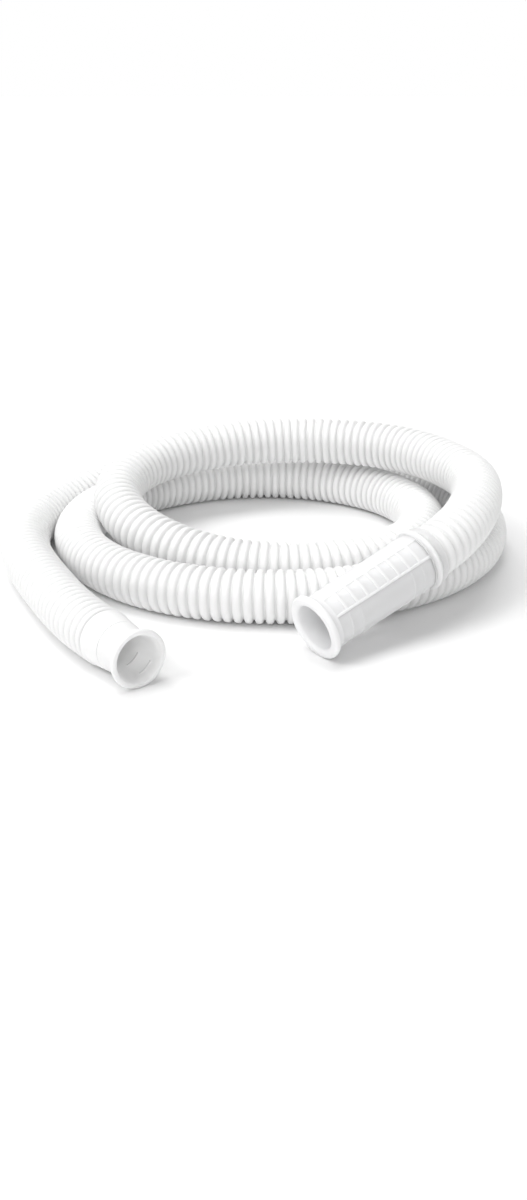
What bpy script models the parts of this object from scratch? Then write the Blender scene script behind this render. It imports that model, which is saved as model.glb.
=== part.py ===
"""Washing machine drain hose, lying in a loose coil on the floor.

Three pieces: a corrugated hose, drawn here as a plain round tube along its real route,
a short pump cuff with a rolled lip on one end, and a long standpipe cuff with a ribbed
grip on the other. Units are metres, +Z is up, and the floor is z = 0.
"""

import math

import bmesh
import bpy
import numpy as np
from mathutils import Matrix, Vector

MM = 0.001

# Gap between pieces that touch on the real hose
CLEARANCE = 0.3 * MM

# Hose
HOSE_OUTER = 27.0 * MM
HOSE_PLAIN_END = 9.0 * MM
HOSE_BEVEL_RESOLUTION = 4
ROUTE_SAMPLES = 12    # between two coil points, before the route is evened out
ROUTE_SPACING = 23.5 * MM

# Route of the coil, seen from above and going anticlockwise from the standpipe cuff.
# One pair for each sixteenth of a turn: the distance from the coil's centre, in coil
# radii, and how far the hose is lifted off the floor, in hose diameters.
COIL_RADIUS = 100.0 * MM
COIL_CENTRE_BACK = 36.8 * MM
COIL_START = -22.5
COIL_STEP = 22.5
COIL = (
    (1.266, 1.09), (1.128, 1.09), (0.970, 1.08), (0.792, 1.07),
    (0.660, 1.06), (0.593, 1.05), (0.583, 1.02), (0.622, 0.96),
    (0.700, 0.87), (0.770, 0.72), (0.788, 0.51), (0.768, 0.29),
    (0.758, 0.12), (0.775, 0.03), (0.823, 0.00), (0.883, 0.00),
    (0.928, 0.00), (0.942, 0.00), (0.918, 0.00), (0.870, 0.00),
    (0.825, 0.00), (0.798, 0.00), (0.796, 0.00), (0.822, 0.00),
    (0.890, 0.00), (0.970, 0.00), (1.040, 0.00), (1.092, 0.00),
    (1.130, 0.00), (1.160, 0.00), (1.200, 0.00), (1.250, 0.00),
    (1.280, 0.00), (1.268, 0.00), (1.230, 0.00), (1.183, 0.00),
    (1.137, 0.00), (1.100, 0.00), (1.086, 0.00), (1.108, 0.00),
    (1.173, 0.00), (1.254, 0.00), (1.340, 0.00), (1.465, 0.00),
)

# Standpipe cuff, measured along its axis from the mouth. The mouth's place, across and
# back, is in coil radii from the coil's centre.
GRIP_MOUTH_RATIOS = (0.266, -1.592)
GRIP_HEADING = 37.0
GRIP_RISE = 16.0
GRIP_LENGTH = 74.0 * MM
GRIP_BORE = 23.0 * MM
GRIP_LIP_OUTER = 32.5 * MM
GRIP_LIP_THICKNESS = 3.2 * MM
GRIP_LIP_ROUND = 1.3 * MM
GRIP_FLARE = 3.5 * MM
GRIP_MOUTH_OUTER = 27.4 * MM
GRIP_SOCKET_DEPTH = 9.0 * MM
GRIP_SOCKET_WALL = 0.9 * MM
GRIP_TAIL_OUTER = HOSE_OUTER + 2 * (CLEARANCE + GRIP_SOCKET_WALL)
BEAD_HEIGHT = 1.1 * MM
BEAD_WIDTH = 3.6 * MM
BEAD_FROM_END = 4.0 * MM
BEAD_START = GRIP_LENGTH - BEAD_FROM_END - BEAD_WIDTH
GRIP_TAIL_ROUND = 0.5 * MM

# Waffle grip on the side of the standpipe cuff: two rows of cells sunk into the wall, from
# the flare to the bead, with a long rib between the rows and short ribs between the cells.
# The angles go round the cuff from its side towards its top.
GRIP_START = 7.0 * MM
GRIP_CELLS = 9
GRIP_CELL_LENGTH = (BEAD_START - GRIP_START) / GRIP_CELLS
GRIP_CELL_DEPTH = 0.5 * MM
GRIP_RIB_WIDTH = 0.9 * MM
GRIP_LOW_EDGE = -17.0
GRIP_LONG_RIB = 30.0
GRIP_HIGH_EDGE = 76.0
LOWER_ROW_RIBS = (1, 2, 7, 8)    # the middle of the lower row is one bare panel

# Pump cuff, in the same way
PUMP_MOUTH_RATIOS = (-0.504, -1.89)
PUMP_HEADING = 127.0
PUMP_LENGTH = 30.0 * MM
PUMP_BORE = 21.0 * MM
PUMP_LIP_OUTER = 28.0 * MM
PUMP_LIP_THICKNESS = 2.6 * MM
PUMP_LIP_ROUND = 1.1 * MM
PUMP_NECK_OUTER = 24.8 * MM
PUMP_NECK_FROM_MOUTH = 9.0 * MM
PUMP_LEAD_IN = 1.2 * MM
PUMP_LEAD_IN_DEPTH = 2.4 * MM
PUMP_TAIL_ROUND = 0.4 * MM

# Short ridges in the pump cuff's bore, in pairs that face each other. The angles go round
# the cuff as on the grip, and give one ridge of each pair.
PUMP_RIDGE_FROM_MOUTH = 6.0 * MM
PUMP_RIDGE_SPACING = 10.5 * MM
PUMP_RIDGE_WIDTH = 1.4 * MM
PUMP_RIDGE_HEIGHT = 0.6 * MM
PUMP_RIDGE_START = -75.0
PUMP_RIDGE_END = -30.0

# Fineness of the turned shapes
CUFF_SEGMENTS = 48
ROUND_POINTS = 4      # on each rounding of a lip
LIP_BACK_TURN = 60.0  # how far the rounding turns before the neck or flare leaves it
FLARE_POINTS = 3
NECK_POINTS = 5
BEAD_POINTS = 7
SHARP_ANGLE = 35.0


def clear_scene():
    for item in list(bpy.data.objects):
        bpy.data.objects.remove(item, do_unlink=True)


def plastic(name, colour, roughness):
    """An opaque moulded plastic."""
    material = bpy.data.materials.new(name)
    material.use_nodes = True
    shader = material.node_tree.nodes["Principled BSDF"]
    shader.inputs["Base Color"].default_value = (*colour, 1.0)
    shader.inputs["Roughness"].default_value = roughness
    shader.inputs["Metallic"].default_value = 0.0
    return material


def beside_coil(across, back):
    """A place on the floor, from its distances to the coil's centre in coil radii."""
    return COIL_RADIUS * across, COIL_CENTRE_BACK + COIL_RADIUS * back


def cuff_frame(mouth, lip_outer, lip_round, heading, rise):
    """Matrix that puts a cuff's mouth at the origin of its axis, local Z running to the hose.

    Local X points to the side of the cuff and local Y up. The lip touches the floor.
    """
    turn, lift = math.radians(heading), math.radians(rise)
    axis = Vector((math.cos(turn) * math.cos(lift), math.sin(turn) * math.cos(lift), math.sin(lift)))
    side = Vector((math.sin(turn), -math.cos(turn), 0.0))
    up = side.cross(axis)
    height = (lip_outer / 2 - lip_round) * math.cos(lift) + lip_round * (1 - math.sin(lift))
    frame = Matrix((side, up, axis)).transposed().to_4x4()
    frame.translation = Vector((*beside_coil(*mouth), height))
    return frame


def arc(centre, radius, start, end):
    """Points on a rounding, as (distance from the axis, distance from the mouth)."""
    angles = np.linspace(math.radians(start), math.radians(end), ROUND_POINTS)
    return [(centre[0] + radius * math.cos(a), centre[1] + radius * math.sin(a)) for a in angles]


def turned_shell(name, profile):
    """Spin a closed profile, which runs from the mouth along the outside and back inside."""
    mesh = bpy.data.meshes.new(name)
    shape = bmesh.new()
    corners = [shape.verts.new((radius, 0.0, along)) for radius, along in profile]
    edges = [shape.edges.new(pair) for pair in zip(corners, corners[1:] + corners[:1])]
    bmesh.ops.spin(
        shape, geom=corners + edges, cent=(0, 0, 0), axis=(0, 0, 1),
        angle=math.tau, steps=CUFF_SEGMENTS, use_merge=True,
    )
    bmesh.ops.recalc_face_normals(shape, faces=shape.faces)
    return mesh, shape


def finish(name, mesh, shape, frame, material):
    """Write the shape into its object, shade it and put it in place."""
    shape.to_mesh(mesh)
    shape.free()
    mesh.shade_smooth()
    mesh.set_sharp_from_angle(angle=math.radians(SHARP_ANGLE))
    mesh.materials.append(material)
    piece = bpy.data.objects.new(name, mesh)
    bpy.context.collection.objects.link(piece)
    piece.matrix_world = frame
    return piece


def grip_body_radius(along):
    """Outer radius of the standpipe cuff's tapered body."""
    share = (along - GRIP_LIP_THICKNESS) / (GRIP_LENGTH - GRIP_LIP_THICKNESS)
    return (GRIP_MOUTH_OUTER + (GRIP_TAIL_OUTER - GRIP_MOUTH_OUTER) * share) / 2


def grip_profile():
    """Section of the standpipe cuff: rolled lip, flare, taper, bead, socket and bore."""
    lip, bore, rounding = GRIP_LIP_OUTER / 2, GRIP_BORE / 2, GRIP_LIP_ROUND
    back = GRIP_LIP_THICKNESS
    outer = arc((bore + rounding, rounding), rounding, 180, 270)
    outer += arc((lip - rounding, rounding), rounding, -90, 0)
    outer += arc((lip - rounding, back - rounding), rounding, 0, LIP_BACK_TURN)
    rise = outer[-1][0] - grip_body_radius(back)
    for step in range(1, FLARE_POINTS + 1):
        share = step / FLARE_POINTS
        along = back + GRIP_FLARE * share
        outer.append((grip_body_radius(along) + rise * (1 - share) ** 2, along))
    outer.append((grip_body_radius(GRIP_START), GRIP_START))
    for rib in range(1, GRIP_CELLS):
        middle = GRIP_START + GRIP_CELL_LENGTH * rib
        for along in (middle - GRIP_RIB_WIDTH / 2, middle + GRIP_RIB_WIDTH / 2):
            outer.append((grip_body_radius(along), along))
    for step in range(BEAD_POINTS):
        share = step / (BEAD_POINTS - 1)
        along = BEAD_START + BEAD_WIDTH * share
        outer.append((grip_body_radius(along) + BEAD_HEIGHT * math.sin(math.pi * share), along))
    tail = GRIP_TAIL_OUTER / 2
    outer.append((tail, GRIP_LENGTH - GRIP_TAIL_ROUND))
    outer.append((tail - GRIP_TAIL_ROUND, GRIP_LENGTH))
    socket = tail - GRIP_SOCKET_WALL
    shoulder = GRIP_LENGTH - GRIP_SOCKET_DEPTH
    outer += [(socket, GRIP_LENGTH), (socket, shoulder), (bore, shoulder)]
    return outer


def round_angle(point):
    """Where a point lies round the cuff, in degrees from its side towards its top."""
    return math.degrees(math.atan2(point.y, point.x))


def in_grip(face):
    """Whether a face is on the outer wall, between the flare and the bead."""
    middle = face.calc_center_median()
    return GRIP_START < middle.z < BEAD_START and middle.xy.length > (GRIP_BORE + GRIP_MOUTH_OUTER) / 4


def rib_half_angle(radius):
    """Half the width of a long rib, as an angle round the cuff."""
    return math.degrees(GRIP_RIB_WIDTH / 2 / radius)


def cut_row_edges(shape):
    """Cut the lines along the cuff where the two rows of cells begin and end."""
    half = rib_half_angle(grip_body_radius(GRIP_LENGTH / 2))
    for edge_angle in (GRIP_LOW_EDGE, GRIP_LONG_RIB - half, GRIP_LONG_RIB + half, GRIP_HIGH_EDGE):
        near = [
            face for face in shape.faces
            if in_grip(face)
            and abs(round_angle(face.calc_center_median()) - edge_angle) < 360 / CUFF_SEGMENTS
        ]
        edges = {edge for face in near for edge in face.edges}
        corners = {corner for face in near for corner in face.verts}
        turn = math.radians(edge_angle)
        bmesh.ops.bisect_plane(
            shape, geom=near + list(edges) + list(corners),
            plane_co=(0, 0, 0), plane_no=(-math.sin(turn), math.cos(turn), 0),
        )


def in_sunk_cell(face):
    """Whether a face of the grip lies in a cell, and so under neither kind of rib."""
    middle = face.calc_center_median()
    angle = round_angle(middle)
    if not GRIP_LOW_EDGE < angle < GRIP_HIGH_EDGE:
        return False
    if abs(angle - GRIP_LONG_RIB) < rib_half_angle(middle.xy.length):
        return False
    place = (middle.z - GRIP_START) / GRIP_CELL_LENGTH
    rib = round(place)
    in_lower_row = angle < GRIP_LONG_RIB
    if in_lower_row and rib not in LOWER_ROW_RIBS:
        return True
    return abs(place - rib) * GRIP_CELL_LENGTH > GRIP_RIB_WIDTH / 2


def press_in(shape, faces, depth):
    """Move part of a cuff's wall towards its axis, as one extrusion."""
    moved = bmesh.ops.extrude_face_region(shape, geom=faces)["geom"]
    for corner in moved:
        if isinstance(corner, bmesh.types.BMVert):
            outwards = Vector((corner.co.x, corner.co.y, 0.0)).normalized()
            corner.co -= outwards * depth
    bmesh.ops.delete(shape, geom=faces, context="FACES_ONLY")
    bmesh.ops.recalc_face_normals(shape, faces=shape.faces)


def make_standpipe_cuff(material):
    frame = cuff_frame(GRIP_MOUTH_RATIOS, GRIP_LIP_OUTER, GRIP_LIP_ROUND, GRIP_HEADING, GRIP_RISE)
    mesh, shape = turned_shell("standpipe_end_cuff", grip_profile())
    cut_row_edges(shape)
    cells = [face for face in shape.faces if in_grip(face) and in_sunk_cell(face)]
    press_in(shape, cells, GRIP_CELL_DEPTH)
    finish("standpipe_end_cuff", mesh, shape, frame, material)
    return frame


def pump_profile():
    """Section of the pump cuff: rolled lip, waisted neck, bore and lead-in."""
    lip, bore, rounding = PUMP_LIP_OUTER / 2, PUMP_BORE / 2, PUMP_LIP_ROUND
    back, neck, tail = PUMP_LIP_THICKNESS, PUMP_NECK_OUTER / 2, HOSE_OUTER / 2
    outer = [(bore + PUMP_LEAD_IN, 0.0)]
    outer += arc((lip - rounding, rounding), rounding, -90, 0)
    outer += arc((lip - rounding, back - rounding), rounding, 0, LIP_BACK_TURN)
    shoulder = outer[-1][0]
    for step in range(1, NECK_POINTS + 1):
        share = step / NECK_POINTS
        along = back + (PUMP_NECK_FROM_MOUTH - back) * share
        outer.append((neck + (shoulder - neck) * (1 - share) ** 3, along))
    straight_end = PUMP_LENGTH - PUMP_TAIL_ROUND
    for step in range(1, NECK_POINTS + 1):
        share = step / NECK_POINTS
        along = PUMP_NECK_FROM_MOUTH + (straight_end - PUMP_NECK_FROM_MOUTH) * share
        outer.append((neck + (tail - neck) * math.sin(math.pi / 2 * share), along))
    outer.append((tail - PUMP_TAIL_ROUND, PUMP_LENGTH))
    inner = [(bore, PUMP_LENGTH)]
    for middle in (PUMP_RIDGE_FROM_MOUTH + PUMP_RIDGE_SPACING, PUMP_RIDGE_FROM_MOUTH):
        inner.append((bore, middle + PUMP_RIDGE_WIDTH / 2))
        inner.append((bore, middle - PUMP_RIDGE_WIDTH / 2))
    inner.append((bore, PUMP_LEAD_IN_DEPTH))
    return outer + inner


def in_ridge(face):
    """Whether a face of the pump cuff's bore carries one of the short ridges."""
    middle = face.calc_center_median()
    if middle.xy.length > (PUMP_BORE + PUMP_NECK_OUTER) / 4:
        return False
    past_start = (round_angle(middle) - PUMP_RIDGE_START) % 180
    if past_start > PUMP_RIDGE_END - PUMP_RIDGE_START:
        return False
    pair = round((middle.z - PUMP_RIDGE_FROM_MOUTH) / PUMP_RIDGE_SPACING)
    along = PUMP_RIDGE_FROM_MOUTH + PUMP_RIDGE_SPACING * pair
    return pair in (0, 1) and abs(middle.z - along) < PUMP_RIDGE_WIDTH / 2


def make_pump_cuff(material):
    frame = cuff_frame(PUMP_MOUTH_RATIOS, PUMP_LIP_OUTER, PUMP_LIP_ROUND, PUMP_HEADING, 0.0)
    mesh, shape = turned_shell("pump_end_cuff", pump_profile())
    press_in(shape, [face for face in shape.faces if in_ridge(face)], PUMP_RIDGE_HEIGHT)
    finish("pump_end_cuff", mesh, shape, frame, material)
    return frame


def smooth_curve(points, first_step, last_step, pieces):
    """A cubic spline through the points, leaving and arriving along the given steps."""
    points = np.array(points)
    count = len(points)
    system = np.zeros((count, count))
    right = np.zeros_like(points)
    system[0, :2] = (2, 1)
    right[0] = 6 * (points[1] - points[0] - np.array(first_step))
    system[-1, -2:] = (1, 2)
    right[-1] = 6 * (np.array(last_step) - points[-1] + points[-2])
    for row in range(1, count - 1):
        system[row, row - 1:row + 2] = (1, 4, 1)
        right[row] = 6 * (points[row - 1] - 2 * points[row] + points[row + 1])
    bend = np.linalg.solve(system, right)
    curve = []
    for span in range(count - 1):
        for u in np.arange(pieces) / pieces:
            v = 1 - u
            straight = v * points[span] + u * points[span + 1]
            curve.append(straight + ((v**3 - v) * bend[span] + (u**3 - u) * bend[span + 1]) / 6)
    curve.append(points[-1])
    return np.array(curve)


def evenly_spaced(curve):
    """The same curve as points that lie equal distances apart."""
    steps = np.linalg.norm(np.diff(curve, axis=0), axis=1)
    along = np.concatenate(([0.0], np.cumsum(steps)))
    wanted = np.linspace(0.0, along[-1], round(along[-1] / ROUTE_SPACING) + 1)
    return np.stack([np.interp(wanted, along, curve[:, axis]) for axis in range(3)], axis=1)


def hose_route(grip_frame, pump_frame):
    """Middle of the hose, from the shoulder in the standpipe cuff to the pump cuff's end."""
    seat = grip_frame @ Vector((0, 0, GRIP_LENGTH - GRIP_SOCKET_DEPTH + CLEARANCE))
    leave = grip_frame @ Vector((0, 0, GRIP_LENGTH))
    arrive = pump_frame @ Vector((0, 0, PUMP_LENGTH + CLEARANCE + HOSE_PLAIN_END))
    end = pump_frame @ Vector((0, 0, PUMP_LENGTH + CLEARANCE))
    points = [leave]
    for step, (distance, lift) in enumerate(COIL):
        angle = math.radians(COIL_START + COIL_STEP * step)
        place = beside_coil(distance * math.cos(angle), distance * math.sin(angle))
        points.append(Vector((*place, HOSE_OUTER * (0.5 + lift))))
    points.append(arrive)
    first_step = grip_frame.to_3x3() @ Vector((0, 0, (points[1] - leave).length))
    last_step = pump_frame.to_3x3() @ Vector((0, 0, -(arrive - points[-2]).length))
    curve = smooth_curve(points, first_step, last_step, ROUTE_SAMPLES)
    return [seat] + list(evenly_spaced(curve)) + [end]


def make_hose(route, material):
    """The hose as a plain tube with flat ends."""
    line = bpy.data.curves.new("drain_hose", "CURVE")
    line.dimensions = "3D"
    line.bevel_depth = HOSE_OUTER / 2
    line.bevel_resolution = HOSE_BEVEL_RESOLUTION
    line.use_fill_caps = True
    spline = line.splines.new("POLY")
    spline.points.add(len(route) - 1)
    for corner, place in zip(spline.points, route):
        corner.co = (*place, 1.0)
    line.materials.append(material)
    bpy.context.collection.objects.link(bpy.data.objects.new("drain_hose", line))


clear_scene()
hose_white = plastic("hose_white", (0.90, 0.90, 0.89), 0.42)
grip_white = plastic("grip_white", (0.91, 0.91, 0.90), 0.38)
pump_white = plastic("pump_white", (0.90, 0.90, 0.89), 0.50)
grip_frame = make_standpipe_cuff(grip_white)
pump_frame = make_pump_cuff(pump_white)
make_hose(hose_route(grip_frame, pump_frame), hose_white)
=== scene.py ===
"""A coiled washing machine drain hose on a white table, as in a studio photograph."""

import math

import bpy
import numpy as np
from mathutils import Matrix, Vector


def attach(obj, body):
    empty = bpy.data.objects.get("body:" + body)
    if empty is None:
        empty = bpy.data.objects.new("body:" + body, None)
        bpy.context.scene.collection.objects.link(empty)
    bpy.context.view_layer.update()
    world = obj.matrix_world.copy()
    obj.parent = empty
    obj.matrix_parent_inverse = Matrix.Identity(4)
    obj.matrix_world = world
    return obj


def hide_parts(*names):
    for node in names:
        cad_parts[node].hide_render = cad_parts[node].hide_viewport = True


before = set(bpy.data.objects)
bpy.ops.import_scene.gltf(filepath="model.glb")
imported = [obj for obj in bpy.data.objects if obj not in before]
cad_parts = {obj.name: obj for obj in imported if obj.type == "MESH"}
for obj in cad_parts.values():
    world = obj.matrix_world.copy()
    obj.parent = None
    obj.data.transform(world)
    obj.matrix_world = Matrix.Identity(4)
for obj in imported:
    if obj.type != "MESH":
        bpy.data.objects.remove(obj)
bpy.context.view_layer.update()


# Camera. It stands in front of the two cuffs, a little over half a metre from them, and
# looks down at the coil by 23 degrees, as the photograph was taken.
bpy.ops.object.select_all(action="DESELECT")
bpy.ops.object.camera_add(location=(0.0039, -0.6659, 0.2596), rotation=(math.radians(67.09), 0, 0))
camera = bpy.context.object
camera.name = "camera"
camera.data.sensor_width = 36.0
camera.data.lens = 38.87
camera.data.clip_start = 0.01
camera.data.clip_end = 50.0
bpy.context.scene.camera = camera


# Hose. A long tube of white polypropylene, blow-moulded with round ribs so that it bends
# without kinking. It is modelled straight, as it leaves the mould, and then wound along
# its route, from its seat in the standpipe cuff to its end face against the pump cuff.
HOSE_CREST = 0.0135
HOSE_ROOT = 0.0115
HOSE_BORE = 0.0105
HOSE_RIB_PITCH = 0.005
HOSE_SEGMENTS = 28
HOSE_BORE_STEPS = 150
HOSE_STRAIGHT_END = 0.009
# Half a rib, from its middle: distance in pitches, and height as a share of the depth
HOSE_RIB = ((0.0, 1.0), (0.16, 0.96), (0.285, 0.8), (0.37, 0.46), (0.43, 0.06))

# The route, as in part.py: for each sixteenth of a turn, the distance from the coil's
# centre in coil radii and the lift off the table in hose diameters
COIL_RADIUS = 0.1
COIL_CENTRE_BACK = 0.0368
COIL_START = -22.5
COIL_STEP = 22.5
COIL = (
    (1.266, 1.09), (1.128, 1.09), (0.970, 1.08), (0.792, 1.07),
    (0.660, 1.06), (0.593, 1.05), (0.583, 1.02), (0.622, 0.96),
    (0.700, 0.87), (0.770, 0.72), (0.788, 0.51), (0.768, 0.29),
    (0.758, 0.12), (0.775, 0.03), (0.823, 0.00), (0.883, 0.00),
    (0.928, 0.00), (0.942, 0.00), (0.918, 0.00), (0.870, 0.00),
    (0.825, 0.00), (0.798, 0.00), (0.796, 0.00), (0.822, 0.00),
    (0.890, 0.00), (0.970, 0.00), (1.040, 0.00), (1.092, 0.00),
    (1.130, 0.00), (1.160, 0.00), (1.200, 0.00), (1.250, 0.00),
    (1.280, 0.00), (1.268, 0.00), (1.230, 0.00), (1.183, 0.00),
    (1.137, 0.00), (1.100, 0.00), (1.086, 0.00), (1.108, 0.00),
    (1.173, 0.00), (1.254, 0.00), (1.340, 0.00), (1.465, 0.00),
)


def beside_coil(across, back):
    """A place on the table, from its distances to the coil's centre in coil radii."""
    return COIL_RADIUS * across, COIL_CENTRE_BACK + COIL_RADIUS * back


def cuff_place(mouth, lip_outer, lip_round, heading, rise):
    """Where a cuff lies, with its lip on the table and its axis running to the hose."""
    turn, lift = math.radians(heading), math.radians(rise)
    axis = Vector((math.cos(turn) * math.cos(lift), math.sin(turn) * math.cos(lift), math.sin(lift)))
    side = Vector((math.sin(turn), -math.cos(turn), 0.0))
    height = (lip_outer / 2 - lip_round) * math.cos(lift) + lip_round * (1 - math.sin(lift))
    place = Matrix((side, side.cross(axis), axis)).transposed().to_4x4()
    place.translation = Vector((*beside_coil(*mouth), height))
    return place


def smooth_curve(points, first_step, last_step, pieces):
    """A cubic spline through the points, leaving and arriving along the given steps."""
    points = np.array(points)
    count = len(points)
    system = np.zeros((count, count))
    right = np.zeros_like(points)
    system[0, :2] = (2, 1)
    right[0] = 6 * (points[1] - points[0] - np.array(first_step))
    system[-1, -2:] = (1, 2)
    right[-1] = 6 * (np.array(last_step) - points[-1] + points[-2])
    for row in range(1, count - 1):
        system[row, row - 1:row + 2] = (1, 4, 1)
        right[row] = 6 * (points[row - 1] - 2 * points[row] + points[row + 1])
    bend = np.linalg.solve(system, right)
    curve = []
    for span in range(count - 1):
        for u in np.arange(pieces) / pieces:
            v = 1 - u
            straight = v * points[span] + u * points[span + 1]
            curve.append(straight + ((v**3 - v) * bend[span] + (u**3 - u) * bend[span + 1]) / 6)
    curve.append(points[-1])
    return [Vector(point) for point in curve]


def turned_shell(name, section, segments):
    """Spin a closed section about Z. Its points are (distance from Z, distance along Z)."""
    bpy.ops.object.select_all(action="DESELECT")
    bpy.ops.mesh.primitive_circle_add(vertices=len(section), radius=0.01)
    shell = bpy.context.object
    shell.name = name
    for corner, (radius, along) in zip(shell.data.vertices, section):
        corner.co = (radius, 0.0, along)
    bpy.ops.object.mode_set(mode="EDIT")
    bpy.ops.mesh.select_all(action="SELECT")
    bpy.ops.mesh.spin(steps=segments, angle=math.tau, center=(0, 0, 0), axis=(0, 0, 1))
    bpy.ops.mesh.select_all(action="SELECT")
    bpy.ops.mesh.remove_doubles(threshold=0.00002)
    bpy.ops.mesh.normals_make_consistent(inside=False)
    bpy.ops.object.mode_set(mode="OBJECT")
    return shell


GRIP_PLACE = cuff_place((0.266, -1.592), 0.0325, 0.0013, 37.0, 16.0)
GRIP_LENGTH = 0.074
GRIP_SOCKET_DEPTH = 0.009
PUMP_PLACE = cuff_place((-0.504, -1.89), 0.028, 0.0011, 127.0, 0.0)
PUMP_LENGTH = 0.03
SEAM = 0.0003

hose_seat = GRIP_PLACE @ Vector((0, 0, GRIP_LENGTH - GRIP_SOCKET_DEPTH + SEAM))
hose_exit = GRIP_PLACE @ Vector((0, 0, GRIP_LENGTH))
hose_arrives = PUMP_PLACE @ Vector((0, 0, PUMP_LENGTH + SEAM + HOSE_STRAIGHT_END))
hose_end = PUMP_PLACE @ Vector((0, 0, PUMP_LENGTH + SEAM))
stations = [hose_exit]
for step, (distance, lift) in enumerate(COIL):
    angle = math.radians(COIL_START + COIL_STEP * step)
    place = beside_coil(distance * math.cos(angle), distance * math.sin(angle))
    stations.append(Vector((*place, HOSE_CREST * (1 + 2 * lift))))
stations.append(hose_arrives)
leaving = GRIP_PLACE.to_3x3() @ Vector((0, 0, (stations[1] - hose_exit).length))
arriving = PUMP_PLACE.to_3x3() @ Vector((0, 0, -(hose_arrives - stations[-2]).length))
hose_route = [hose_seat, *smooth_curve(stations, leaving, arriving, 12), hose_end]
hose_length = sum((after - before).length for before, after in zip(hose_route, hose_route[1:]))

ribs = round(hose_length / HOSE_RIB_PITCH)
pitch = hose_length / ribs
hose_depth = HOSE_CREST - HOSE_ROOT
hose_section = [(HOSE_BORE, 0.0), (HOSE_ROOT, 0.0)]
for rib in range(ribs):
    middle = (rib + 0.5) * pitch
    for share, height in HOSE_RIB[:0:-1]:
        hose_section.append((HOSE_ROOT + hose_depth * height, middle - share * pitch))
    for share, height in HOSE_RIB:
        hose_section.append((HOSE_ROOT + hose_depth * height, middle + share * pitch))
hose_section += [(HOSE_ROOT, hose_length), (HOSE_BORE, hose_length)]
for step in range(1, HOSE_BORE_STEPS):
    hose_section.append((HOSE_BORE, hose_length * (1 - step / HOSE_BORE_STEPS)))

hose = turned_shell("corrugated_hose", hose_section, HOSE_SEGMENTS)
# Painted shade: the grooves between the ribs are painted greyer. The mask is 0 on the crests and 1 down in
# the grooves.
groove = hose.data.attributes.new("groove", "FLOAT", "POINT")
for corner, depth in zip(hose.data.vertices, groove.data):
    depth.value = min(1.0, (HOSE_CREST - corner.co.xy.length) / hose_depth)

line = bpy.data.curves.new("hose_route", "CURVE")
line.dimensions = "3D"
spline = line.splines.new("POLY")
spline.points.add(len(hose_route) - 1)
for corner, place in zip(spline.points, hose_route):
    corner.co = (*place, 1.0)
route = bpy.data.objects.new("hose_route", line)
bpy.context.collection.objects.link(route)
winding = hose.modifiers.new("wind", "CURVE")
winding.object = route
winding.deform_axis = "POS_Z"
bpy.ops.object.modifier_apply(modifier=winding.name)
bpy.ops.object.shade_smooth()
bpy.data.objects.remove(route)


def moulded_surface():
    """Node group: the faint unevenness that a mould leaves on a white plastic."""
    group = bpy.data.node_groups.new("moulded surface", "ShaderNodeTree")
    group.interface.new_socket("Colour", in_out="INPUT", socket_type="NodeSocketColor")
    group.interface.new_socket("Shade", in_out="INPUT", socket_type="NodeSocketFloat")
    group.interface.new_socket("Roughness", in_out="INPUT", socket_type="NodeSocketFloat")
    group.interface.new_socket("Texture", in_out="INPUT", socket_type="NodeSocketFloat")
    group.interface.new_socket("Colour", in_out="OUTPUT", socket_type="NodeSocketColor")
    group.interface.new_socket("Roughness", in_out="OUTPUT", socket_type="NodeSocketFloat")
    group.interface.new_socket("Normal", in_out="OUTPUT", socket_type="NodeSocketVector")
    nodes, links = group.nodes, group.links
    given = nodes.new("NodeGroupInput")
    made = nodes.new("NodeGroupOutput")
    place = nodes.new("ShaderNodeTexCoord")

    def noise(scale, detail):
        texture = nodes.new("ShaderNodeTexNoise")
        texture.inputs["Scale"].default_value = scale
        texture.inputs["Detail"].default_value = detail
        links.new(place.outputs["Object"], texture.inputs["Vector"])
        return texture.outputs["Fac"]

    def spread(value, low, high):
        span = nodes.new("ShaderNodeMapRange")
        span.inputs["From Min"].default_value = 0.3
        span.inputs["From Max"].default_value = 0.7
        span.inputs["To Min"].default_value = low
        span.inputs["To Max"].default_value = high
        links.new(value, span.inputs["Value"])
        return span.outputs["Result"]

    def combine(operation, first, second):
        sum_or_product = nodes.new("ShaderNodeMath")
        sum_or_product.operation = operation
        links.new(first, sum_or_product.inputs[0])
        links.new(second, sum_or_product.inputs[1])
        return sum_or_product.outputs["Value"]

    colour = nodes.new("ShaderNodeVectorMath")
    colour.operation = "SCALE"
    links.new(given.outputs["Colour"], colour.inputs[0])
    tint = spread(noise(28.0, 3.0), 0.985, 1.0)
    links.new(combine("MULTIPLY", tint, given.outputs["Shade"]), colour.inputs["Scale"])
    links.new(colour.outputs["Vector"], made.inputs["Colour"])

    wander = spread(noise(90.0, 4.0), -0.05, 0.05)
    links.new(combine("ADD", given.outputs["Roughness"], wander), made.inputs["Roughness"])

    bump = nodes.new("ShaderNodeBump")
    bump.inputs["Distance"].default_value = 0.00005
    links.new(given.outputs["Texture"], bump.inputs["Strength"])
    links.new(noise(900.0, 2.0), bump.inputs["Height"])
    links.new(bump.outputs["Normal"], made.inputs["Normal"])
    return group


SURFACE = moulded_surface()


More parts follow.
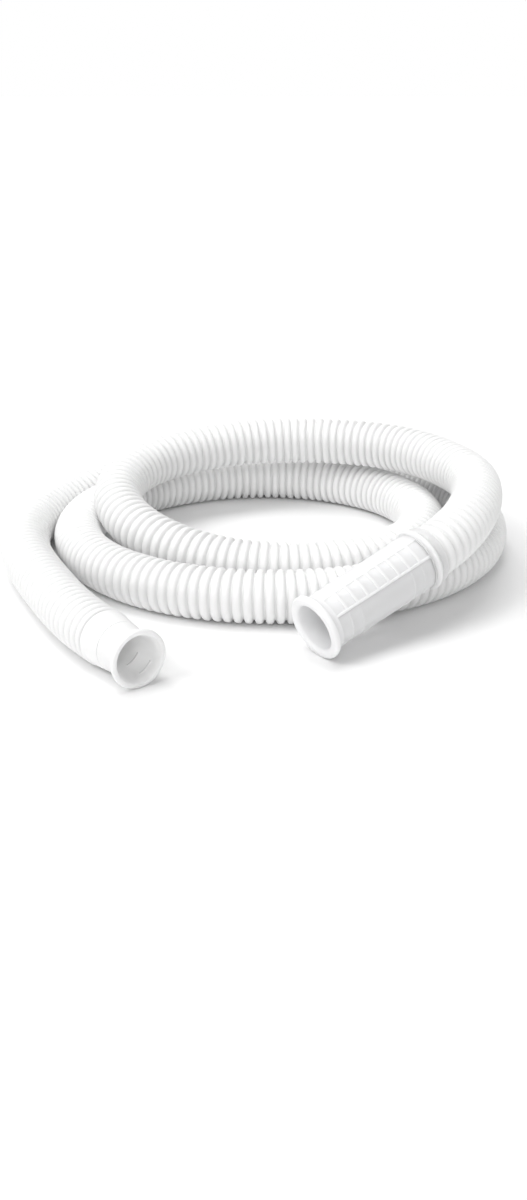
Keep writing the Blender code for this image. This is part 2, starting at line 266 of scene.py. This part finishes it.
def white_plastic(piece, name, colour, roughness, texture, mask, masked_shade, depth_of_light):
    """Dress a piece in satin white plastic, painted greyer as shade where its mask is 1."""
    material = bpy.data.materials.new(name)
    material.use_nodes = True
    nodes, links = material.node_tree.nodes, material.node_tree.links
    shader = nodes["Principled BSDF"]
    surface = nodes.new("ShaderNodeGroup")
    surface.node_tree = SURFACE
    surface.inputs["Colour"].default_value = (*colour, 1.0)
    surface.inputs["Roughness"].default_value = roughness
    surface.inputs["Texture"].default_value = texture
    marked = nodes.new("ShaderNodeAttribute")
    marked.attribute_name = mask
    shade = nodes.new("ShaderNodeMapRange")
    shade.inputs["To Min"].default_value = 1.0
    shade.inputs["To Max"].default_value = masked_shade
    links.new(marked.outputs["Fac"], shade.inputs["Value"])
    links.new(shade.outputs["Result"], surface.inputs["Shade"])
    links.new(surface.outputs["Colour"], shader.inputs["Base Color"])
    links.new(surface.outputs["Roughness"], shader.inputs["Roughness"])
    links.new(surface.outputs["Normal"], shader.inputs["Normal"])
    if depth_of_light:
        shader.inputs["Subsurface Weight"].default_value = 1.0
        shader.inputs["Subsurface Radius"].default_value = (1.0, 1.0, 1.0)
        shader.inputs["Subsurface Scale"].default_value = depth_of_light
    piece.data.materials.clear()
    piece.data.materials.append(material)


white_plastic(hose, "hose white", (0.93, 0.93, 0.928), 0.42, 0.5, "groove", 0.86, 0.0)
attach(hose, "root")
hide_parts("drain_hose")


# Standpipe cuff. A long moulded sleeve of white plastic that hangs in the standpipe or
# over a sink. It has a thick rolled lip, two rows of sunk cells that make a waffle grip,
# a bead that stops the hand, and a socket that the hose is pushed into.
GRIP_BORE = 0.0115
GRIP_LIP = 0.01625
GRIP_LIP_THICKNESS = 0.0036
GRIP_LIP_ROUND = 0.0015
GRIP_MOUTH_OUTER = 0.0137
GRIP_TAIL_OUTER = 0.0147
GRIP_SOCKET = 0.0138
BEAD_START = 0.0664
BEAD_WIDTH = 0.0034
BEAD_HEIGHT = 0.0013
BEAD_GROOVE_WIDTH = 0.0009
BEAD_GROOVE_DEPTH = 0.00015
GRIP_START = 0.007
GRIP_CELLS = 9
GRIP_CELL_DEPTH = 0.0005
GRIP_RIB_WIDTH = 0.0011
GRIP_LOW_EDGE = -58.0
GRIP_LONG_RIB = 33.0
GRIP_HIGH_EDGE = 76.0
LOWER_ROW_RIBS = (1, 2, 7, 8)
FAINT_RIB_HEIGHT = 0.0002
CUFF_SEGMENTS = 96
cell_length = (BEAD_START - BEAD_GROOVE_WIDTH - GRIP_START) / GRIP_CELLS


def arc(centre, radius, start, end, points=7):
    """Points on a rounding, as (distance from the axis, distance along it)."""
    angles = [math.radians(start + (end - start) * step / (points - 1)) for step in range(points)]
    return [(centre[0] + radius * math.cos(a), centre[1] + radius * math.sin(a)) for a in angles]


def grip_radius(along):
    """Outer radius of the sleeve, which widens slightly towards the hose."""
    share = (along - GRIP_LIP_THICKNESS) / (GRIP_LENGTH - GRIP_LIP_THICKNESS)
    return GRIP_MOUTH_OUTER + (GRIP_TAIL_OUTER - GRIP_MOUTH_OUTER) * share


def swell(start, width, height, steps):
    """Points on a round bead, or with a negative height a groove, on the sleeve."""
    points = []
    for step in range(steps + 1):
        along = start + width * step / steps
        points.append((grip_radius(along) + height * math.sin(math.pi * step / steps) ** 0.8, along))
    return points


grip_section = arc((GRIP_BORE + 0.0018, 0.0018), 0.0018, 180, 270)
grip_section += arc((GRIP_LIP - GRIP_LIP_ROUND, GRIP_LIP_ROUND), GRIP_LIP_ROUND, -90, 0)
back_of_lip = (GRIP_LIP - GRIP_LIP_ROUND, GRIP_LIP_THICKNESS - GRIP_LIP_ROUND)
grip_section += arc(back_of_lip, GRIP_LIP_ROUND, 0, 55, 5)
flare_start = grip_section[-1][1]
flare_rise = grip_section[-1][0] - grip_radius(flare_start)
for step in range(1, 9):
    along = flare_start + (GRIP_START - flare_start) * step / 8
    grip_section.append((grip_radius(along) + flare_rise * (1 - step / 8) ** 2.2, along))
for rib in range(1, GRIP_CELLS):
    for along in (-GRIP_RIB_WIDTH / 2, GRIP_RIB_WIDTH / 2):
        along += GRIP_START + cell_length * rib
        grip_section.append((grip_radius(along), along))
grip_section += swell(BEAD_START - BEAD_GROOVE_WIDTH, BEAD_GROOVE_WIDTH, -BEAD_GROOVE_DEPTH, 5)
grip_section += swell(BEAD_START, BEAD_WIDTH, BEAD_HEIGHT, 10)[1:]
grip_section += swell(BEAD_START + BEAD_WIDTH, BEAD_GROOVE_WIDTH, -BEAD_GROOVE_DEPTH, 5)[1:]
grip_section += arc((GRIP_TAIL_OUTER - 0.0007, GRIP_LENGTH - 0.0007), 0.0007, 0, 90, 5)
grip_section += [(GRIP_SOCKET, GRIP_LENGTH), (GRIP_SOCKET, GRIP_LENGTH - GRIP_SOCKET_DEPTH)]
for along in (GRIP_LENGTH - GRIP_SOCKET_DEPTH, 0.045, 0.025, 0.01):
    grip_section.append((GRIP_BORE, along))
grip_cuff = turned_shell("standpipe_cuff", grip_section, CUFF_SEGMENTS)


def choose_faces(piece, wanted):
    """Enter edit mode with only the faces selected whose middle passes the test."""
    bpy.ops.object.mode_set(mode="EDIT")
    bpy.ops.mesh.select_mode(type="FACE")
    bpy.ops.mesh.select_all(action="DESELECT")
    bpy.ops.object.mode_set(mode="OBJECT")
    for face in piece.data.polygons:
        face.select = wanted(face.center)
    bpy.ops.object.mode_set(mode="EDIT")


def turned_angle(middle):
    """Degrees round a cuff, from its side towards its top."""
    return math.degrees(math.atan2(middle.y, middle.x))


def on_sleeve(middle):
    """Whether a face is on the outside of the sleeve, between the flare and the bead."""
    return GRIP_START < middle.z < BEAD_START - BEAD_GROOVE_WIDTH and middle.xy.length > 0.0127


def in_cell(middle):
    """Whether a face lies in a sunk cell, and so under neither kind of rib."""
    angle = turned_angle(middle)
    if not on_sleeve(middle) or not GRIP_LOW_EDGE < angle < GRIP_HIGH_EDGE:
        return False
    if abs(math.radians(angle - GRIP_LONG_RIB)) * middle.xy.length < GRIP_RIB_WIDTH / 2:
        return False
    place = (middle.z - GRIP_START) / cell_length
    rib = round(place)
    if angle < GRIP_LONG_RIB or rib in (0, GRIP_CELLS):
        return True
    return abs(place - rib) * cell_length > GRIP_RIB_WIDTH / 2


def on_faint_rib(middle):
    """Whether a face of the lower panel's floor belongs to one of its four low cross ribs."""
    sunk = grip_radius(middle.z) - middle.xy.length > 0.8 * GRIP_CELL_DEPTH
    place = (middle.z - GRIP_START) / cell_length
    across = abs(place - round(place)) * cell_length < GRIP_RIB_WIDTH / 2
    lower = GRIP_LOW_EDGE + 6 < turned_angle(middle) < GRIP_LONG_RIB - 8
    return on_sleeve(middle) and lower and sunk and across and round(place) in LOWER_ROW_RIBS


half_rib = math.degrees(GRIP_RIB_WIDTH / 2 / grip_radius(GRIP_LENGTH / 2))
for edge_angle in (GRIP_LOW_EDGE, GRIP_LONG_RIB - half_rib, GRIP_LONG_RIB + half_rib, GRIP_HIGH_EDGE):
    choose_faces(grip_cuff, lambda m: on_sleeve(m) and abs(turned_angle(m) - edge_angle) < 4)
    turn = math.radians(edge_angle)
    bpy.ops.mesh.bisect(plane_co=(0, 0, 0), plane_no=(-math.sin(turn), math.cos(turn), 0))
    bpy.ops.object.mode_set(mode="OBJECT")
choose_faces(grip_cuff, in_cell)
bpy.ops.mesh.inset(thickness=0.00022, depth=-GRIP_CELL_DEPTH, use_even_offset=True)
bpy.ops.object.mode_set(mode="OBJECT")
choose_faces(grip_cuff, on_faint_rib)
bpy.ops.mesh.inset(thickness=0.00015, depth=FAINT_RIB_HEIGHT, use_even_offset=True)
bpy.ops.object.mode_set(mode="OBJECT")


def mark(piece, name, share_of):
    """Store on each corner of the mesh how far it belongs to a finish, from 0 to 1."""
    finish = piece.data.attributes.new(name, "FLOAT", "POINT")
    for corner, share in zip(piece.data.vertices, finish.data):
        share.value = share_of(corner.co)


def finish_cuff(piece, place, bevel):
    """Round the sharp edges, smooth the faces and lay the cuff in its place."""
    edges = piece.modifiers.new("edges", "BEVEL")
    edges.width = bevel
    edges.segments = 2
    edges.limit_method = "ANGLE"
    edges.angle_limit = math.radians(28)
    bpy.ops.object.modifier_apply(modifier=edges.name)
    bpy.ops.object.shade_smooth_by_angle(angle=math.radians(40))
    piece.matrix_world = place
    bpy.ops.object.transform_apply(location=True, rotation=True, scale=True)


def panel_and_cell_shade_share(corner):
    """How far a place is painted greyer as shade: fully on the lower panel, which faces down from the
    light, and less in the sunk cells.
    """
    if grip_radius(corner.z) - corner.xy.length < GRIP_CELL_DEPTH / 2 or not on_sleeve(corner):
        return 0.0
    return 1.0 if turned_angle(corner) < GRIP_LONG_RIB else 0.6


# Painted shade: the lower panel, and less the sunk cells, are painted greyer through the "texture" mask,
# which only changes the colour.
mark(grip_cuff, "texture", panel_and_cell_shade_share)
finish_cuff(grip_cuff, GRIP_PLACE, 0.00012)
white_plastic(grip_cuff, "grip cuff white", (0.9, 0.9, 0.906), 0.36, 0.35, "texture", 0.86, 0.003)
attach(grip_cuff, "root")
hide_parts("standpipe_end_cuff")


# Pump cuff. A short flexible sleeve that is pushed over the pump's spigot and held by a
# clip on its waist. It has a rolled lip, a wide lead-in and short ridges in its bore, and
# a fine mould line where the waist meets the collar that closes on the hose.
PUMP_BORE = 0.0105
PUMP_LIP = 0.014
PUMP_LIP_THICKNESS = 0.0026
PUMP_LIP_ROUND = 0.0011
PUMP_LEAD_IN = 0.0012
PUMP_LEAD_IN_DEPTH = 0.0024
# The outside behind the lip: distance from the mouth, and radius
PUMP_WAIST = ((0.0036, 0.0124), (0.005, 0.0118), (0.007, 0.01145), (0.0095, 0.0114), (0.0125, 0.01155))
PUMP_COLLAR = ((0.0205, 0.01235), (0.0235, 0.0127), (0.026, 0.0129))
PUMP_LINE = 0.017
PUMP_LINE_RADIUS = 0.0120
PUMP_LINE_WIDTH = 0.0004
PUMP_LINE_DEPTH = 0.00025
PUMP_RING = ((0.0268, 0.0128), (0.0276, 0.01315), (0.0284, 0.0134), (0.0291, 0.0134))
PUMP_RIDGES = (0.006, 0.0165)
PUMP_RIDGE_WIDTH = 0.0014
PUMP_RIDGE_HEIGHT = 0.0003
PUMP_RIDGE_START = -75.0
PUMP_RIDGE_END = -30.0

pump_section = [(PUMP_BORE + PUMP_LEAD_IN, 0.0)]
pump_section += arc((PUMP_LIP - PUMP_LIP_ROUND, PUMP_LIP_ROUND), PUMP_LIP_ROUND, -90, 0)
back_of_lip = (PUMP_LIP - PUMP_LIP_ROUND, PUMP_LIP_THICKNESS - PUMP_LIP_ROUND)
pump_section += arc(back_of_lip, PUMP_LIP_ROUND, 0, 60, 5)
pump_section += [(radius, along) for along, radius in PUMP_WAIST]
pump_section += [(PUMP_LINE_RADIUS, PUMP_LINE - PUMP_LINE_WIDTH / 2)]
pump_section += [(PUMP_LINE_RADIUS - PUMP_LINE_DEPTH, PUMP_LINE)]
pump_section += [(PUMP_LINE_RADIUS, PUMP_LINE + PUMP_LINE_WIDTH / 2)]
pump_section += [(radius, along) for along, radius in (*PUMP_COLLAR, *PUMP_RING)]
pump_section += [(0.0131, 0.0297), (0.0126, PUMP_LENGTH), (PUMP_BORE, PUMP_LENGTH)]
for middle in PUMP_RIDGES[::-1]:
    pump_section += [(PUMP_BORE, middle + PUMP_RIDGE_WIDTH / 2), (PUMP_BORE, middle - PUMP_RIDGE_WIDTH / 2)]
pump_section += [(PUMP_BORE, PUMP_LEAD_IN_DEPTH)]
pump_cuff = turned_shell("pump_cuff", pump_section, CUFF_SEGMENTS)


def on_ridge(middle):
    """Whether a face of the bore belongs to one of the ridges, which lie in pairs."""
    past_start = (turned_angle(middle) - PUMP_RIDGE_START) % 180
    beside = any(abs(middle.z - along) < PUMP_RIDGE_WIDTH / 2 for along in PUMP_RIDGES)
    return middle.xy.length < 0.0108 and beside and past_start < PUMP_RIDGE_END - PUMP_RIDGE_START


choose_faces(pump_cuff, on_ridge)
bpy.ops.mesh.inset(thickness=0.0003, depth=PUMP_RIDGE_HEIGHT, use_even_offset=True)
bpy.ops.object.mode_set(mode="OBJECT")


def narrow_share(corner):
    """1 in the mould line and in the joint with the hose, less on the ridges, 0 elsewhere."""
    if corner.xy.length < PUMP_BORE - 0.5 * PUMP_RIDGE_HEIGHT:
        return 0.27
    in_line = abs(corner.z - PUMP_LINE) < PUMP_LINE_WIDTH / 4
    in_joint = corner.z > 0.0298 and corner.xy.length > 0.012
    return 1.0 if in_line or in_joint else 0.0


def bore_glow_share(corner):
    """How strongly the bore glows, more the deeper it is: painted light, standing for daylight through the
    thin wall.
    """
    if not PUMP_BORE - 0.5 * PUMP_RIDGE_HEIGHT < corner.xy.length < PUMP_BORE + 0.0001:
        return 0.0
    return min(1.0, 0.25 + corner.z / 0.025)


# Painted shade: the bore's ridges are painted darker as their shadow, and the joint with the hose as the
# shadow between the parts. The mould line is painted darker in its groove.
mark(pump_cuff, "narrow", narrow_share)
mark(pump_cuff, "through", bore_glow_share)
finish_cuff(pump_cuff, PUMP_PLACE, 0.00012)
white_plastic(pump_cuff, "pump cuff white", (0.92, 0.92, 0.918), 0.5, 0.3, "narrow", 0.4, 0.002)
# Painted light: the bore gives off a faint glow, standing for the daylight that the thin wall lets through.
pump_tree = pump_cuff.active_material.node_tree
through = pump_tree.nodes.new("ShaderNodeAttribute")
through.attribute_name = "through"
pump_shader = pump_tree.nodes["Principled BSDF"]
pump_shader.inputs["Emission Strength"].default_value = 0.09
pump_tree.links.new(through.outputs["Color"], pump_shader.inputs["Emission Color"])
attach(pump_cuff, "root")
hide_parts("pump_end_cuff")


# Table. A plain white sheet that runs out of the picture on all sides. It keeps the
# shadows of the hose, and is lifted to paper white only where the camera sees it.
TABLE_LIFT = 0.02

bpy.ops.object.select_all(action="DESELECT")
bpy.ops.mesh.primitive_plane_add(size=16.0)
table = bpy.context.object
table.name = "table"
table_white = bpy.data.materials.new("table white")
table_white.use_nodes = True
nodes, links = table_white.node_tree.nodes, table_white.node_tree.links
shader = nodes["Principled BSDF"]
shader.inputs["Base Color"].default_value = (0.94, 0.94, 0.94, 1.0)
shader.inputs["Roughness"].default_value = 0.9
shader.inputs["Specular IOR Level"].default_value = 0.0
shader.inputs["Emission Color"].default_value = (1.0, 1.0, 1.0, 1.0)
ray = nodes.new("ShaderNodeLightPath")
lift = nodes.new("ShaderNodeMath")
lift.operation = "MULTIPLY"
lift.inputs[1].default_value = TABLE_LIFT
links.new(ray.outputs["Is Camera Ray"], lift.inputs[0])
links.new(lift.outputs["Value"], shader.inputs["Emission Strength"])
table.data.materials.append(table_white)


# Studio light. A pale room and four large soft lamps light the table evenly. The strongest
# two, on the left and overhead, leave the shadows under the hose and on its right.
ROOM_LEVEL = 0.29

world = bpy.data.worlds.new("white room")
bpy.context.scene.world = world
world.use_nodes = True
nodes, links = world.node_tree.nodes, world.node_tree.links
room = nodes["Background"]
room.inputs["Color"].default_value = (1, 1, 1, 1)
room.inputs["Strength"].default_value = ROOM_LEVEL
paper = nodes.new("ShaderNodeBackground")
paper.inputs["Color"].default_value = (1, 1, 1, 1)
paper.inputs["Strength"].default_value = 1.0
ray = nodes.new("ShaderNodeLightPath")
mirrored = nodes.new("ShaderNodeMath")
mirrored.operation = "MAXIMUM"
links.new(ray.outputs["Is Glossy Ray"], mirrored.inputs[0])
links.new(ray.outputs["Is Transmission Ray"], mirrored.inputs[1])
seen = nodes.new("ShaderNodeMath")
seen.operation = "MAXIMUM"
links.new(ray.outputs["Is Camera Ray"], seen.inputs[0])
links.new(mirrored.outputs["Value"], seen.inputs[1])
either = nodes.new("ShaderNodeMixShader")
links.new(seen.outputs["Value"], either.inputs["Fac"])
links.new(room.outputs["Background"], either.inputs[1])
links.new(paper.outputs["Background"], either.inputs[2])
links.new(either.outputs["Shader"], nodes["World Output"].inputs["Surface"])


def soft_lamp(name, towards, energy, spread):
    """A far lamp that shines from a direction, with soft shadows."""
    bpy.ops.object.select_all(action="DESELECT")
    bpy.ops.object.light_add(type="SUN", location=towards)
    lamp = bpy.context.object
    lamp.name = name
    lamp.data.angle = math.radians(spread)
    lamp.data.energy = energy
    lamp.rotation_euler = Vector(towards).to_track_quat("Z", "Y").to_euler()


soft_lamp("key lamp", (-0.7, -0.35, 0.85), 0.97, 24)
soft_lamp("back lamp", (-0.5, 0.5, 0.8), 0.38, 28)
soft_lamp("top lamp", (-0.12, 0.05, 1.0), 1.26, 36)
soft_lamp("front lamp", (0.05, -0.85, 0.48), 0.68, 35)

bpy.context.scene.view_settings.view_transform = "Standard"
